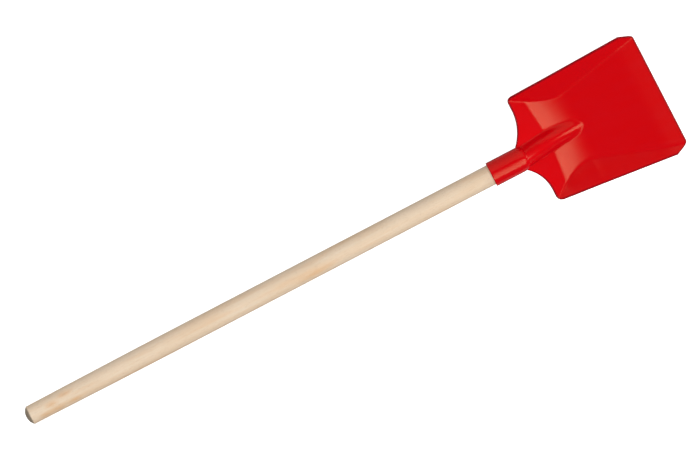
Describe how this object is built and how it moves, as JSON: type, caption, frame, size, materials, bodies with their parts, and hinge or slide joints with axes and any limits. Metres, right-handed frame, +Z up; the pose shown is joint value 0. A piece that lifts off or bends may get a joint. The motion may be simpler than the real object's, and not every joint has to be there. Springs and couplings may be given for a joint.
{
  "type": "garden spade",
  "caption": "Light long-handled spade for moving sand or loose soil: a dished square blade moulded with its socket, on a plain round wooden stick with a domed end.",
  "frame": {"origin": "middle of the footprint, on the ground that the spade lies on", "axes": "+X along the spade towards the blade's front edge, +Z up out of the open side of the blade, +Y to the left when looking along +X; the spade is mirror-symmetric about the XZ plane"},
  "size_m": [0.7999, 0.1538, 0.0342],
  "materials": {
    "moulded_red": "bright red injection-moulded plastic, glossy, with smooth rounded rims",
    "beech": "pale turned beech, sanded and left unvarnished, grain along the stick",
    "zinc_plated": "zinc-plated steel wood screw"
  },
  "bodies": {
    "root": {"blade": "moulded_red", "handle": "beech", "fixing_screw": "zinc_plated"}
  },
  "joints": []
}
